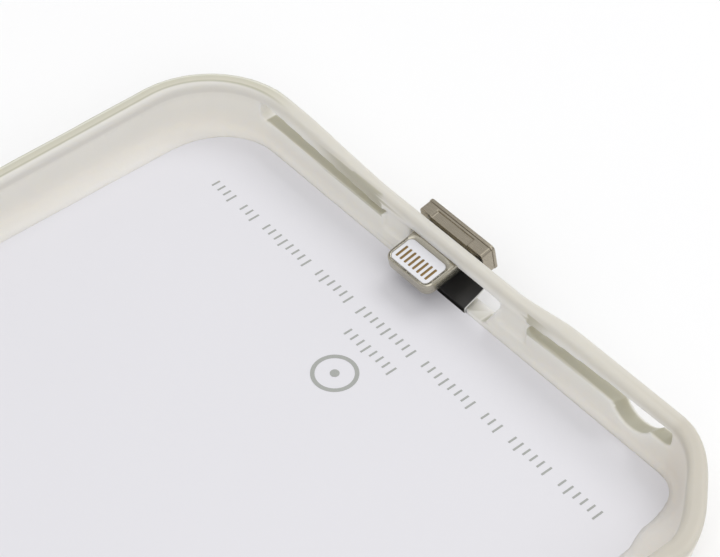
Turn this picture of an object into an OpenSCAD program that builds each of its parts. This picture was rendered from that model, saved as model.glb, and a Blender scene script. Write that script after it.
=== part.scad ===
// Wireless charging phone case, lying on its back with the open tray up.
// +Z is up out of the tray, +Y points to the phone's top, +X is right as seen from the screen.
// The origin is the middle of the flat back.

/* [Phone] */
// Width of the phone that the case holds
phone_w = 78; // [64:0.5:84]
// Length of the phone that the case holds
phone_l = 158.2; // [130:0.5:170]
// Gap between the phone and each wall
phone_gap = 0.3; // [0.1:0.05:0.6]

/* [Soft frame] */
// Thickness of the side walls and the top end wall
side_wall = 2.2; // [1.8:0.1:3]
// Thickness of the connector end wall at its rim
end_wall = 1.9; // [1.7:0.1:2.6]
// Outer corner radius seen from above
corner_r = 11.5; // [9:0.5:14]
// Height of the wall above the inner panel
wall_h = 6.8; // [6.4:0.1:8]
// Width of the soft fillet's foot at the connector end
end_foot = 2.5; // [2.4:0.05:2.8]
// Height of the soft fillet at the connector end
end_foot_h = 1.4; // [0.8:0.1:1.6]
// How far the rims of the empty soft sides sag inwards at mid length
side_sag = 0.9; // [0:0.1:1.2]
// Width of the soft fillet at the foot of the side walls
foot_w = 1.8; // [1:0.1:2.6]
// Height of the soft fillet at the foot of the side walls
foot_h = 2.2; // [1.2:0.1:2.8]
// Width of the ledge that carries the inner panel
ledge_w = 2; // [1.4:0.1:3]
// Width of the soft edge around the back cover
back_edge = 4.6; // [4:0.1:5.4]
// Radius of the rounded outer edge at the back
back_round = 2.4; // [1.6:0.1:2.6]

/* [Plates] */
// Thickness of the back cover
back_t = 0.9; // [0.6:0.05:1.4]
// Room between the back cover and the inner panel for the receiver
core_t = 1.3; // [1.25:0.05:1.8]
// Thickness of the inner panel
panel_t = 0.8; // [0.5:0.05:1.2]
// Clearance around each plate
plate_gap = 0.1; // [0.05:0.05:0.2]

/* [Connector window] */
// Sideways place of the middle of the window
window_x = 1.6; // [1:0.1:2]
// Width of the window at its sill
window_w = 12.4; // [12:0.1:13]
// How far the window's left end leans outwards above its sill
window_flare = 1.5; // [0.8:0.1:1.6]
// Height over which the left end leans
flare_h = 3; // [2:0.1:3.4]
// Height of the window above the panel
window_h = 4.4; // [4.2:0.1:4.6]
// Reach of the window's sill, where the flex lead goes down behind it, inwards from the outer face
sill_w = 2.25; // [2.1:0.05:2.3]
// Depth of the thinned cheeks between the window and the slots
cheek_d = 0.35; // [0.2:0.05:0.6]
// Bottom of the cheeks above the panel
cheek_z = 1.3; // [1:0.1:1.6]
// Height of the cheeks
cheek_h = 3; // [2.4:0.1:3]
// Depth of the hollow in the outer face around the window
hollow_d = 0.45; // [0.2:0.05:0.6]
// How far the rim dips over the window
hollow_dip = 0.6; // [0.2:0.05:0.7]
// Half width of the hollow's full depth
hollow_half = 9.5; // [8:0.25:10]
// Width of the hollow's fade on the right
hollow_fade_r = 18; // [12:0.5:18.5]
// Width of the hollow's fade on the left
hollow_fade_l = 9; // [6:0.5:12]

/* [Sound slots and jack hole] */
// Inner end of the right slot
slot_r_in = 11.6; // [11.4:0.1:13]
// Outer end of the right slot
slot_r_out = 32.4; // [30:0.2:33]
// Bottom of the right slot above the panel
slot_r_z = 3; // [2.8:0.05:3.2]
// Height of the right slot at its inner end
slot_r_h_in = 0.8; // [0.7:0.05:1.2]
// Height of the right slot at its outer end
slot_r_h_out = 2.3; // [1.8:0.05:2.4]
// Radius of the right slot's lower corners
slot_r_corner = 0.7; // [0.4:0.05:0.8]
// Distance of the left slot's inner end from the middle
slot_l_in = 10.2; // [9.9:0.1:12]
// Distance of the left slot's outer end from the middle
slot_l_out = 30.4; // [30:0.1:31]
// Bottom of the left slot above the panel
slot_l_z = 3.25; // [3:0.05:3.3]
// Height of the left slot at its inner end
slot_l_h_in = 1.25; // [1.1:0.05:1.4]
// Height of the left slot at its outer end
slot_l_h_out = 2.35; // [2.1:0.05:2.4]
// Radius of the left slot's lower corners
slot_l_corner = 1.1; // [0.6:0.05:1.2]
// How far the left slot's top edge bows up
slot_l_bow = 0.3; // [0.05:0.05:0.35]
// Distance of the headphone jack hole from the middle
jack_x = 26.4; // [26:0.1:27]
// Radius of the headphone jack hole
jack_r = 3; // [2.95:0.05:3.1]
// Height of the headphone jack hole's axis above the panel
jack_z = 3.4; // [3.2:0.05:3.45]
// Height of the jack hole's flat top above the panel
jack_top = 5.6; // [5.55:0.05:5.8]

/* [Camera hole] */
// Width of the camera hole
camera_w = 27; // [20:0.5:30]
// Height of the camera hole
camera_h = 13; // [10:0.5:15]
// Corner radius of the camera hole
camera_r = 5; // [3:0.25:5]
// Distance of the camera hole's middle from the right side
camera_in_x = 21.5; // [19:0.5:24]
// Distance of the camera hole's middle from the top end
camera_in_y = 14.5; // [13.5:0.5:17]
// Width of the soft lip around the camera hole
camera_lip = 2.2; // [1.6:0.1:2.6]

/* [Buttons] */
// Length of the power button cover
power_l = 11; // [8:0.5:13]
// Length of each volume button cover
volume_l = 10; // [8:0.5:12]
// Height of the button covers
button_h = 2.8; // [2.2:0.1:3.4]
// How far the button covers stand out
button_out = 0.5; // [0.2:0.05:0.8]
// Height of the button axis above the panel
button_z = 3.4; // [3:0.1:3.8]
// Distance of the power button from the top end
power_y = 43; // [36:0.5:50]
// Distance of the first volume button from the top end
volume_y = 47; // [44:0.5:50]
// Distance between the two volume buttons
volume_pitch = 14; // [13:0.5:16]
// Distance of the mute switch opening from the top end
mute_y = 33; // [28:0.5:34]
// Length of the mute switch opening
mute_l = 8; // [6:0.5:9]
// Height of the mute switch opening
mute_h = 4.4; // [4.2:0.1:4.6]

/* [Receiver] */
// Outer diameter of the receiver coil
coil_d = 42; // [36:0.5:48]
// Inner diameter of the receiver coil
coil_hole = 20; // [14:0.5:24]
// Height of the coil winding
coil_t = 0.45; // [0.3:0.01:0.5]
// Number of turns seen in the winding
coil_turns = 14; // [8:1:16]
// Side length of the ferrite sheet
ferrite_w = 50; // [48.5:0.5:54]
// Side length of the tape that holds the ferrite sheet to the panel
tape_w = 46; // [40:0.5:48]
// Thickness of the ferrite sheet
ferrite_t = 0.4; // [0.2:0.01:0.42]
// Thickness of the glue sheet under the coil
glue_t = 0.1; // [0.05:0.01:0.12]
// Width of one coil lead
lead_w = 0.4; // [0.2:0.05:0.6]
// Distance between the two coil leads
lead_pitch = 2.4; // [1.6:0.1:4]
// Lap of the coil leads on the receiver board
lead_lap = 1.5; // [0.8:0.1:2]
// Corner radius of the ferrite sheet and its tape
sheet_r = 2; // [1:0.5:4]
// Place of the coil's middle along the case
coil_y = -6; // [-12:1:6]
// Width of the receiver board
board_w = 30; // [28:0.5:36]
// Length of the receiver board
board_l = 12; // [11.5:0.5:16]
// Thickness of the receiver board
board_t = 0.4; // [0.3:0.01:0.45]
// Distance of the board's middle from the connector end
board_y = 28; // [26:0.5:32]
// Height of the chips and the inductor on the board
chip_t = 0.75; // [0.5:0.01:0.78]
// Side length of the rectifier chip and the inductor
chip_w = 4; // [3:0.1:4.2]
// Distance of the rectifier chip from the board's middle
rectifier_x = 6; // [5:0.1:7]
// Side length of the regulator chip
regulator_w = 3; // [2:0.1:3.4]
// Distance of the regulator chip from the board's middle
regulator_x = 6; // [5:0.1:6.4]
// Distance of the inductor from the board's middle
inductor_x = 11.2; // [10.8:0.1:11.5]
// Distance of the capacitors from the board's middle
capacitor_x = 12.5; // [11:0.1:12.6]
// Distance between neighbouring capacitors
capacitor_pitch = 2; // [1.2:0.1:2.2]
// Length of one capacitor
capacitor_l = 1.6; // [1:0.1:2]
// Width of one capacitor
capacitor_w = 0.8; // [0.5:0.05:1]
// Height of one capacitor
capacitor_t = 0.6; // [0.4:0.01:0.7]

/* [Flex lead] */
// Width of the flex lead
flex_w = 8; // [7:0.1:8.2]
// Sideways place of the flex lead's middle
flex_x = 1.95; // [1.5:0.05:2]
// Thickness of the flex lead
flex_t = 0.22; // [0.15:0.01:0.28]
// Clearance on each side of the flex lead where it passes the panel and the ledge
flex_room = 0.25; // [0.15:0.05:0.4]
// Lap of the flex lead on the receiver board
flex_lap = 3; // [2:0.1:4]

/* [Plug] */
// Sideways place of the plug
plug_x = 3.7; // [3.2:0.05:3.8]
// Droop of the plug's tip in degrees
plug_tilt = 11; // [9:0.5:12]
// Height of the contact row above the panel
plug_z = 3.8; // [3.7:0.05:3.9]
// Distance of the contact row from the case's outer end face
plug_in = 4.25; // [4:0.05:4.4]
// Width of the plug's tongue
tongue_w = 6.7; // [6.5:0.05:6.8]
// Thickness of the plug's tongue
tongue_t = 1.5; // [1.4:0.05:1.6]
// Length of the tongue outside the grip
tongue_l = 6.4; // [6.2:0.05:6.6]
// Distance from the tip to the middle of the contacts
tip_to_row = 1.7; // [1.65:0.05:1.9]
// Number of contacts on each face
contact_n = 8; // [6:1:8]
// Distance between neighbouring contacts
contact_pitch = 0.645; // [0.6:0.005:0.66]
// Width of one contact
contact_w = 0.31; // [0.26:0.01:0.42]
// Length of one contact
contact_l = 1.65; // [1.3:0.05:1.8]
// Thickness of one contact
contact_t = 0.12; // [0.08:0.01:0.2]
// Room around the tongue where it passes the end wall
plug_room = 0.2; // [0.1:0.05:0.25]
// Width of the white insulator
insulator_w = 5.7; // [5.4:0.05:5.8]
// Length of the white insulator
insulator_l = 3.2; // [2.9:0.05:3.25]
// Width of the grip
grip_w = 9.7; // [9:0.05:10]
// Sideways place of the grip on the tongue
grip_x = -0.3; // [-0.5:0.05:0.5]
// Height of the grip
grip_h = 3.45; // [3.2:0.05:3.5]
// Depth of the grip's inner block
grip_d = 1.35; // [1.2:0.05:1.6]
// Thickness of the grip's outer plate
plate_d = 0.42; // [0.3:0.01:0.6]
// How far the outer plate stands past the block all round
plate_over = 0.08; // [0:0.01:0.12]
// Length of the shallow recess in the grip's top
recess_w = 5.6; // [4.5:0.1:6]
// Depth of the shallow recess in the grip's top
recess_d = 0.2; // [0.1:0.01:0.3]
// Sideways place of the recess on the grip
recess_x = 0.3; // [-0.5:0.05:1]
// Reach of the recess along the plug's axis
recess_l = 1.05; // [0.6:0.05:1.1]

/* [Printed marks] */
// Distance of the row of marks from the connector end
marks_y = 10.05; // [9:0.05:14]
// Length of the row of marks
marks_l = 60.8; // [50:0.2:62]
// Height of one mark
mark_h = 1.05; // [0.8:0.05:1.3]
// Thickness of the ink
ink_t = 0.03; // [0.02:0.01:0.05]
// Width of one stroke
stroke_w = 0.22; // [0.15:0.01:0.3]
// Distance from the long row to the short row
short_row = 3.1; // [2.8:0.1:3.4]
// Distance from the long row to the ring
ring_up = 5.8; // [5.4:0.1:7]
// Diameter of the printed ring
ring_d = 5; // [4:0.1:6]
// Width of the printed ring's line
ring_line = 0.45; // [0.3:0.05:0.6]

/* [Hidden] */
$fn = 48;

half_w = phone_w / 2 + phone_gap + side_wall;
half_l = (phone_l + 2 * phone_gap + side_wall + end_wall) / 2;
panel_z = back_t + core_t;
floor_z = panel_z + panel_t;
rim_z = floor_z + wall_h;
side_foot = side_wall + foot_w;
window_l = window_x - window_w / 2;
window_r = window_x + window_w / 2;
hollow_x = 2;
board_mid = -half_l + board_y;
board_top = back_t + board_t;
coil_z = back_t + glue_t;
ferrite_z = coil_z + coil_t;
tape_z = ferrite_z + ferrite_t;
camera_x = half_w - camera_in_x;
camera_y = half_l - camera_in_y;
row_y = -half_l + plug_in;
grip_y = tip_to_row - tongue_l;
sill_gap = 0.05;
flex_slot_y = -half_l + sill_w + sill_gap;
arc_steps = 10;
side_steps = 14;
end_steps = 48;
cut = 0.05;
// Lap of a cheek over the tip of the slot beside it
cheek_lap = 0.15;
// Gap between the flex lead's end and the grip block
lead_gap = 0.06;

function smooth(t) = let(c = min(1, max(0, t))) c * c * (3 - 2 * c);
function mix(a, b, t) = a + (b - a) * t;
// Weight of the hollow around the window at sideways place x
function hollow(x) = 1 - smooth((abs(x - hollow_x) - hollow_half)
    / (x > hollow_x ? hollow_fade_r : hollow_fade_l));
// One station of the outline: place, inward normal, share of the end wall's section, hollow, sag
function corner_at(sx, sy, a, share) =
    [sx * (half_w - corner_r) + corner_r * cos(a), sy * (half_l - corner_r) + corner_r * sin(a),
     -cos(a), -sin(a), share, 0, 0];
function corner(sx, sy, a0, s0, s1) =
    [for (i = [0:arc_steps]) corner_at(sx, sy, a0 + 90 * i / arc_steps,
        mix(s0, s1, smooth(i / arc_steps)))];
// Sag of a side's rim, u runs from -1 to 1 along the side
function sag(u) = side_sag * (1 - u * u);
function side_at(s, u) = [s * half_w, s * u * (half_l - corner_r), -s, 0, 0, 0, sag(u)];
function side(s) = [for (i = [1:side_steps - 1]) side_at(s, -1 + 2 * i / side_steps)];
function end_at(s, u, share) =
    let(x = s * u * (half_w - corner_r)) [x, -s * half_l, 0, s, share, s > 0 ? hollow(x) : 0, 0];
function end_wall_run(s, share, n) = [for (i = [1:n - 1]) end_at(s, -1 + 2 * i / n, share)];
outline = concat(
    end_wall_run(1, 1, end_steps), corner(1, -1, -90, 1, 0),
    side(1), corner(1, 1, 0, 0, 0),
    end_wall_run(-1, 0, side_steps), corner(-1, 1, 90, 0, 0),
    side(-1), corner(-1, -1, 180, 0, 1));
// Outline points moved inwards by d
function inset(d) = [for (p = outline) [p[0] + p[2] * d, p[1] + p[3] * d]];
function foot(p) = mix(side_foot, end_foot, p[4]);

// Section of the soft frame at a station, as [inward, up] points
function section(p) =
    let(e = p[4], h = p[5] * hollow_d, top = rim_z - p[5] * hollow_dip,
        wall = mix(side_wall, end_wall, e), f = foot(p), rim = wall - h,
        fh = mix(foot_h, end_foot_h, e), out = back_round)
    concat(
        [for (a = [0:22.5:90]) [out * (1 - sin(a)) + h * sin(a) * 0.4, out * (1 - cos(a))]],
        [[h * 0.7, floor_z + 2], [h, top - 1.4], [h + rim * 0.05, top - 0.7],
         [h + rim * 0.18, top - 0.22], [h + rim * 0.4, top], [h + rim * 0.74, top],
         [h + rim * 0.9, top - 0.2], [h + rim * 0.98, top - 0.55], [wall, top - 1.1],
         [wall, floor_z + fh + 0.3]],
        [for (a = [15:15:75]) [f - (f - wall) * cos(a), floor_z + fh * (1 - sin(a))]],
        [[f, floor_z], [f, panel_z], [f + ledge_w, panel_z], [f + ledge_w, back_t],
         [back_edge, back_t], [back_edge, 0]]);

module sweep(stations) {
    rings = [for (p = stations)
        [for (q = section(p)) let(d = q[0] + p[6] * max(0, q[1] - floor_z) / wall_h)
            [p[0] + p[2] * d, p[1] + p[3] * d, q[1]]]];
    n = len(rings);
    m = len(rings[0]);
    polyhedron(
        points = [for (r = rings) each r],
        faces = [for (i = [0:n - 1], j = [0:m - 1])
            let(a = i * m, b = ((i + 1) % n) * m, k = (j + 1) % m)
            each [[a + j, b + k, b + j], [a + j, a + k, b + k]]],
        convexity = 10);
}

// Rounded bar shape in the plane, w along x and h along y
module pill(w, h, r) {
    square([w - 2 * r, h], center = true);
    square([w, h - 2 * r], center = true);
    for (x = [-1, 1], y = [-1, 1]) translate([x * (w / 2 - r), y * (h / 2 - r)]) circle(r);
}

// Slab with rounded corners, its underside at z = 0
module rounded_slab(w, l, t, r) {
    linear_extrude(t) pill(w, l, r);
}

// Cutter through the connector end wall, drawn as seen from the front
module through_end(depth = 6) {
    translate([0, -half_l + depth - 2, 0]) rotate([90, 0, 0]) linear_extrude(depth) children();
}

// Slot with a sloping top edge and rounded lower corners, x0 is the end by the window
module sound_slot(x0, x1, z, h_in, h_out, r, bow) {
    side = sign(x1 - x0);
    low = floor_z + z;
    through_end() polygon(concat(
        [for (a = [180:15:270]) [x0 + side * r * (1 + cos(a)), low + r * (1 + sin(a))]],
        [for (a = [270:15:360]) [x1 + side * r * (cos(a) - 1), low + r * (1 + sin(a))]],
        [for (t = [1:-0.125:0]) [mix(x0, x1, t), low + mix(h_in, h_out, t) + 4 * bow * t * (1 - t)]]));
}

module window_hole() {
    wide = window_l - window_flare;
    through_end() translate([0, floor_z])
        polygon([[window_l, 0], [window_r, 0], [window_r, window_h], [wide, window_h], [wide, flare_h]]);
}

// Recess in the inner face between the window and a slot
module cheek(x0, x1) {
    translate([min(x0, x1), -half_l + end_wall - cheek_d, floor_z + cheek_z])
        cube([abs(x1 - x0), 2 * cheek_d, cheek_h]);
}

module camera_tab(grow = 0) {
    translate([camera_x, camera_y])
        pill(camera_w + 2 * (camera_lip + grow), camera_h + 2 * (camera_lip + grow),
            camera_r + camera_lip);
}

module button_pad(s, from_top, len) {
    lean = sag((half_l - from_top) / (half_l - corner_r)) * button_z / wall_h;
    translate([s * (half_w - lean - 1), half_l - from_top, floor_z + button_z])
        rotate([90, 0, s * 90]) linear_extrude(1 + button_out)
            pill(len, button_h, button_h / 2 - 0.01);
}

module bumper_frame() {
    color([0.88, 0.87, 0.84]) difference() {
        union() {
            sweep(outline);
            // Soft lip around the camera hole
            linear_extrude(floor_z) camera_tab();
            button_pad(1, power_y, power_l);
            for (i = [0, 1]) button_pad(-1, volume_y + i * volume_pitch, volume_l);
        }
        sound_slot(slot_r_in, slot_r_out, slot_r_z, slot_r_h_in, slot_r_h_out, slot_r_corner, 0);
        sound_slot(-slot_l_in, -slot_l_out, slot_l_z, slot_l_h_in, slot_l_h_out, slot_l_corner, slot_l_bow);
        through_end() intersection() {
            translate([-jack_x, floor_z + jack_z]) circle(jack_r);
            translate([-jack_x - jack_r, floor_z]) square([2 * jack_r, jack_top]);
        }
        window_hole();
        // Room for the tongue where it leans up through the wall
        on_plug() translate([-tongue_w / 2 - plug_room, grip_y - plug_room, -tongue_t - plug_room])
            cube([tongue_w + 2 * plug_room, tongue_l, tongue_t + 2 * plug_room]);
        cheek(window_r, slot_r_in + cheek_lap);
        cheek(window_l - window_flare, -slot_l_in - cheek_lap);
        // Pocket in the ledge where the flex lead goes down
        translate([flex_x - flex_w / 2 - flex_room, -half_l + sill_w, back_t - cut])
            cube([flex_w + 2 * flex_room, end_foot + ledge_w, core_t + panel_t + 2 * cut]);
        translate([camera_x, camera_y, -1]) rounded_slab(camera_w, camera_h, floor_z + 2, camera_r);
        translate([-half_w - 2, half_l - mute_y, floor_z + button_z])
            rotate([90, 0, 90]) linear_extrude(6) pill(mute_l, mute_h, 1.2);
    }
}

module back_cover() {
    color([0.93, 0.93, 0.93]) difference() {
        linear_extrude(back_t) polygon(inset(back_edge + plate_gap));
        translate([0, 0, -1]) linear_extrude(back_t + 2) camera_tab(plate_gap);
    }
}

module inner_panel() {
    color([0.9, 0.91, 0.93]) difference() {
        translate([0, 0, panel_z]) linear_extrude(panel_t)
            polygon([for (p = outline) let(d = foot(p) + plate_gap) [p[0] + p[2] * d, p[1] + p[3] * d]]);
        translate([0, 0, panel_z - 1]) linear_extrude(panel_t + 2) camera_tab(plate_gap);
        // Slot that the flex lead comes up through
        translate([flex_x - flex_w / 2 - flex_room, -half_l, panel_z - 1])
            cube([flex_w + 2 * flex_room, sill_w + sill_gap + flex_t + flex_room, panel_t + 2]);
    }
}

// Lengths of the groups in the row of marks, counted in marks
mark_groups = [6, 6, 3, 8, 9, 6, 8, 3, 4];
function sum_to(v, n) = n <= 0 ? 0 : v[n - 1] + sum_to(v, n - 1);
mark_cells = sum_to(mark_groups, len(mark_groups)) + len(mark_groups) - 1;
mark_pitch = marks_l / mark_cells;

module mark_row(groups, pitch, tall) {
    cells = sum_to(groups, len(groups)) + len(groups) - 1;
    for (g = [0:len(groups) - 1], i = [0:groups[g] - 1]) {
        h = i % 4 == 0 ? tall * 1.3 : tall;
        translate([(sum_to(groups, g) + g + i + 0.5 - cells / 2) * pitch - stroke_w / 2, 0, 0])
            cube([stroke_w, h, ink_t]);
    }
}

module printed_marks() {
    color([0.64, 0.64, 0.62]) translate([0, -half_l + marks_y, floor_z]) {
        mark_row(mark_groups, mark_pitch, mark_h);
        translate([0, short_row, 0]) mark_row([8], mark_pitch, mark_h);
        translate([0, ring_up + ring_d / 2, 0]) {
            difference() {
                cylinder(d = ring_d, h = ink_t);
                translate([0, 0, -ink_t]) cylinder(d = ring_d - 2 * ring_line, h = 3 * ink_t);
            }
            cylinder(d = ring_d * 0.2, h = ink_t);
        }
    }
}

module coil_glue() {
    color([0.85, 0.85, 0.8]) translate([0, coil_y, back_t]) cylinder(d = coil_d + 1, h = glue_t, $fn = 96);
}

module receiver_coil() {
    turn = (coil_d - coil_hole) / 2 / coil_turns;
    color([0.72, 0.45, 0.2]) translate([0, coil_y, coil_z]) rotate_extrude($fn = 96)
        union() {
            translate([coil_hole / 2, 0]) square([(coil_d - coil_hole) / 2, coil_t * 0.75]);
            for (i = [0:coil_turns - 1]) translate([coil_hole / 2 + turn * (i + 0.15), 0])
                square([turn * 0.7, coil_t]);
        }
}

module coil_leads() {
    board_edge = board_mid + board_l / 2;
    color([0.72, 0.45, 0.2]) for (side = [-1, 1])
        translate([(side * lead_pitch - lead_w) / 2, board_edge - lead_lap, board_top])
            cube([lead_w, coil_y - coil_d / 2 - board_edge + lead_lap - cut, ferrite_z - board_top]);
}

module ferrite_sheet() {
    color([0.25, 0.25, 0.26]) translate([0, coil_y, ferrite_z])
        rounded_slab(ferrite_w, ferrite_w, ferrite_t, sheet_r);
}

module panel_tape() {
    color([0.8, 0.8, 0.78]) translate([0, coil_y, tape_z])
        rounded_slab(tape_w, tape_w, panel_z - tape_z, sheet_r);
}

module receiver_board() {
    color([0.1, 0.35, 0.2]) translate([0, board_mid, back_t]) rounded_slab(board_w, board_l, board_t, 1);
}

// A part on the board, placed from the board's middle
module on_board(x, y, w, l, t) {
    translate([x - w / 2, board_mid + y - l / 2, board_top]) cube([w, l, t]);
}

module rectifier_chip() {
    color([0.12, 0.12, 0.13]) on_board(-rectifier_x, 0, chip_w, chip_w, chip_t);
}

module regulator_chip() {
    color([0.12, 0.12, 0.13]) on_board(regulator_x, 0, regulator_w, regulator_w, chip_t);
}

module power_inductor() {
    color([0.3, 0.3, 0.32]) on_board(inductor_x, 0, chip_w, chip_w, chip_t);
}

module capacitors() {
    color([0.7, 0.6, 0.45]) for (i = [-2:2])
        on_board(-capacitor_x, i * capacitor_pitch, capacitor_l, capacitor_w, capacitor_t);
}

module flex_tail() {
    color([0.08, 0.08, 0.09]) translate([flex_x - flex_w / 2, 0, 0]) {
        translate([0, flex_slot_y, board_top])
            cube([flex_w, board_mid - board_l / 2 + flex_lap - flex_slot_y, flex_t]);
        translate([0, flex_slot_y, board_top])
            cube([flex_w, flex_t, panel_z - board_top]);
    }
}

// Side view of the flex lead from the slot in the panel to the grip, as [y, z] from the
// outer end face and the panel. It ends just before the grip block's front face
flex_up = sill_w + sill_gap + flex_t / 2;
flex_top = 2.6;
grip_front = plug_in + grip_y * cos(plug_tilt)
    + (flex_top - plug_z + grip_y * sin(plug_tilt)) * tan(plug_tilt);
flex_end = grip_front + flex_t / 2 + lead_gap;
flex_path = [[flex_up, -panel_t], [flex_up, 0.05], [sill_w - 0.1, 0.3], [0.25, 1.15],
    [flex_end + 0.15, 1.75], [flex_end, flex_top]];

// Band of thickness t along a path in the plane
function band_normal(p, i) =
    let(a = p[max(0, i - 1)], b = p[min(len(p) - 1, i + 1)], d = b - a) [-d[1], d[0]] / norm(d);
module band(p, t) {
    n = len(p);
    polygon(concat([for (i = [0:n - 1]) p[i] + band_normal(p, i) * t / 2],
        [for (i = [n - 1:-1:0]) p[i] - band_normal(p, i) * t / 2]));
}

module flex_lead() {
    color([0.08, 0.08, 0.09]) translate([flex_x - flex_w / 2, -half_l, floor_z])
        rotate([90, 0, 90]) linear_extrude(flex_w) band(flex_path, flex_t);
}

// The plug's own frame: contact row on the tongue's top face at the origin, tip along +Y
module on_plug() {
    translate([plug_x, row_y, floor_z + plug_z]) rotate([-plug_tilt, 0, 0]) children();
}

module tongue_plan(w, tip, base, r) {
    translate([-w / 2, base]) square([w, tip - base - r]);
    translate([-w / 2 + r, base]) square([w - 2 * r, tip - base]);
    for (s = [-1, 1]) translate([s * (w / 2 - r), tip - r]) circle(r);
}

insulator_y = -0.3;
module insulator_plan(gap = 0) {
    translate([0, insulator_y]) pill(insulator_w + 2 * gap, insulator_l + 2 * gap, 0.6);
}

module board_core(gap = 0) {
    // Small board that joins the contacts to the flex lead inside the grip
    translate([-2.2 - gap, grip_y - 0.8, -tongue_t / 2 - 0.2 - gap])
        cube([4.4 + 2 * gap, -grip_y + 0.8 + insulator_y - insulator_l / 2, 0.4 + 2 * gap]);
}

module plug_shell() {
    color([0.75, 0.73, 0.69]) on_plug() difference() {
        translate([0, 0, -tongue_t]) linear_extrude(tongue_t)
            tongue_plan(tongue_w, tip_to_row, grip_y, 1.1);
        translate([0, 0, -tongue_t - 1]) linear_extrude(tongue_t + 2) insulator_plan();
        board_core(0.02);
    }
}

module contact_row(z) {
    for (i = [0:contact_n - 1])
        translate([(i - (contact_n - 1) / 2) * contact_pitch - contact_w / 2, -contact_l / 2, z])
            cube([contact_w, contact_l, contact_t]);
}

module plug_insulator() {
    color([0.95, 0.95, 0.94]) on_plug() difference() {
        translate([0, 0, -tongue_t]) linear_extrude(tongue_t) insulator_plan();
        contact_row(-contact_t);
        contact_row(-tongue_t);
    }
}

module plug_board() {
    color([0.1, 0.35, 0.2]) on_plug() board_core();
}

module top_contacts() {
    color([0.82, 0.65, 0.3]) on_plug() contact_row(-contact_t);
}

module bottom_contacts() {
    color([0.82, 0.65, 0.3]) on_plug() contact_row(-tongue_t);
}

// Slab of the grip seen along the plug's axis, its inner face at y
module grip_slab(y, d, over, r) {
    translate([grip_x, y, -tongue_t / 2]) rotate([90, 0, 0]) linear_extrude(d)
        pill(grip_w + 2 * over, grip_h + 2 * over, r);
}

module grip_block() {
    color([0.75, 0.73, 0.69]) on_plug() difference() {
        grip_slab(grip_y, grip_d, 0, 0.4);
        // Shallow recess along the top edge
        translate([grip_x + recess_x - recess_w / 2, grip_y - recess_l, grip_h / 2 - tongue_t / 2 - recess_d])
            cube([recess_w, 2 * recess_l, 2 * recess_d]);
        board_core(0.02);
    }
}

module grip_plate() {
    color([0.75, 0.73, 0.69]) on_plug() grip_slab(grip_y - grip_d, plate_d, plate_over, 0.5);
}

bumper_frame();
back_cover();
inner_panel();
printed_marks();
coil_glue();
receiver_coil();
coil_leads();
ferrite_sheet();
panel_tape();
receiver_board();
rectifier_chip();
regulator_chip();
power_inductor();
capacitors();
flex_tail();
flex_lead();
plug_shell();
plug_insulator();
plug_board();
top_contacts();
bottom_contacts();
grip_block();
grip_plate();
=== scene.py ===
import bpy
import numpy as np
from mathutils import Matrix


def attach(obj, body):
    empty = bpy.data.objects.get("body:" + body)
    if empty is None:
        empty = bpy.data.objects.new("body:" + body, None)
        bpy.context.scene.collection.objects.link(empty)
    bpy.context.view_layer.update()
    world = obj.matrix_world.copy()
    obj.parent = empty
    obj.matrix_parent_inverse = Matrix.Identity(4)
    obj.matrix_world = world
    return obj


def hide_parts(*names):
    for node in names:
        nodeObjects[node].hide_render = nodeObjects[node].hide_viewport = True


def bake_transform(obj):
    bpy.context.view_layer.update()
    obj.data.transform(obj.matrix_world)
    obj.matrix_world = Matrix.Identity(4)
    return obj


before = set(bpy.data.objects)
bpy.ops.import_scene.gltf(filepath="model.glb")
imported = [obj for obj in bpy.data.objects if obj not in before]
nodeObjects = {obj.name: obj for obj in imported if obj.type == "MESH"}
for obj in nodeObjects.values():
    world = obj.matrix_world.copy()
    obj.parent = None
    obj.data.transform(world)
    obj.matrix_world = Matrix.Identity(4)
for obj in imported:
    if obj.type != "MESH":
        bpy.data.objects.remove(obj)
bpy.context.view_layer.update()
mm = 0.001


# A socket that can stand in a Python sum, each operator adds one Math node
class Wire:
    def __init__(self, finish, socket):
        self.finish, self.socket = finish, socket

    def __add__(self, other): return self.finish.maths("ADD", self, other)
    def __radd__(self, other): return self.finish.maths("ADD", other, self)
    def __sub__(self, other): return self.finish.maths("SUBTRACT", self, other)
    def __rsub__(self, other): return self.finish.maths("SUBTRACT", other, self)
    def __mul__(self, other): return self.finish.maths("MULTIPLY", self, other)
    def __rmul__(self, other): return self.finish.maths("MULTIPLY", other, self)


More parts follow.
